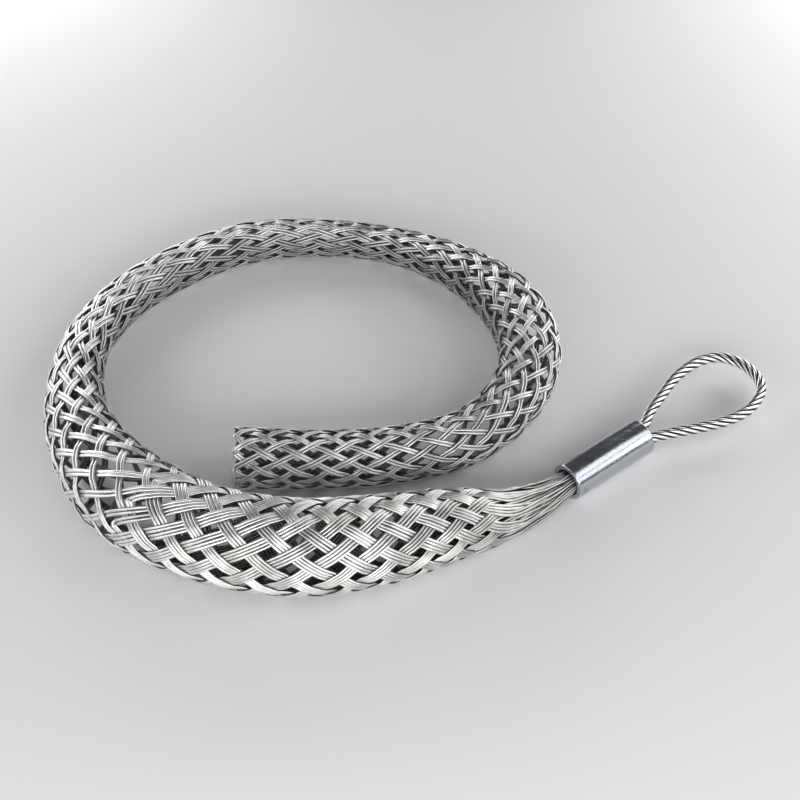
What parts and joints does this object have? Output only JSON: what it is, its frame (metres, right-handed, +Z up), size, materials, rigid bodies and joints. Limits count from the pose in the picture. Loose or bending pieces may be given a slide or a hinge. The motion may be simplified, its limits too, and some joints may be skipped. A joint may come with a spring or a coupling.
{
  "type": "cable pulling grip",
  "caption": "Woven wire sleeve that tightens on a cable when pulled, with a pressed ferrule and a wire rope eye, lying in a loose loop.",
  "frame": {"origin": "on the floor, under the middle of the whole grip as it lies", "axes": "+X towards the eye's side, +Y away from the open mouth's side, +Z up from the floor"},
  "size_m": [0.4038, 0.3158, 0.0529],
  "materials": {
    "mesh_wire": "bright galvanised stranded wire, soft shine",
    "ferrule_metal": "polished, with fine scratches and faint brown stains",
    "rope_wire": "bright stranded wire rope, shiny"
  },
  "bodies": {
    "root": {"mesh_sleeve": "mesh_wire", "ferrule": "ferrule_metal", "eye_rope": "rope_wire"}
  },
  "joints": []
}
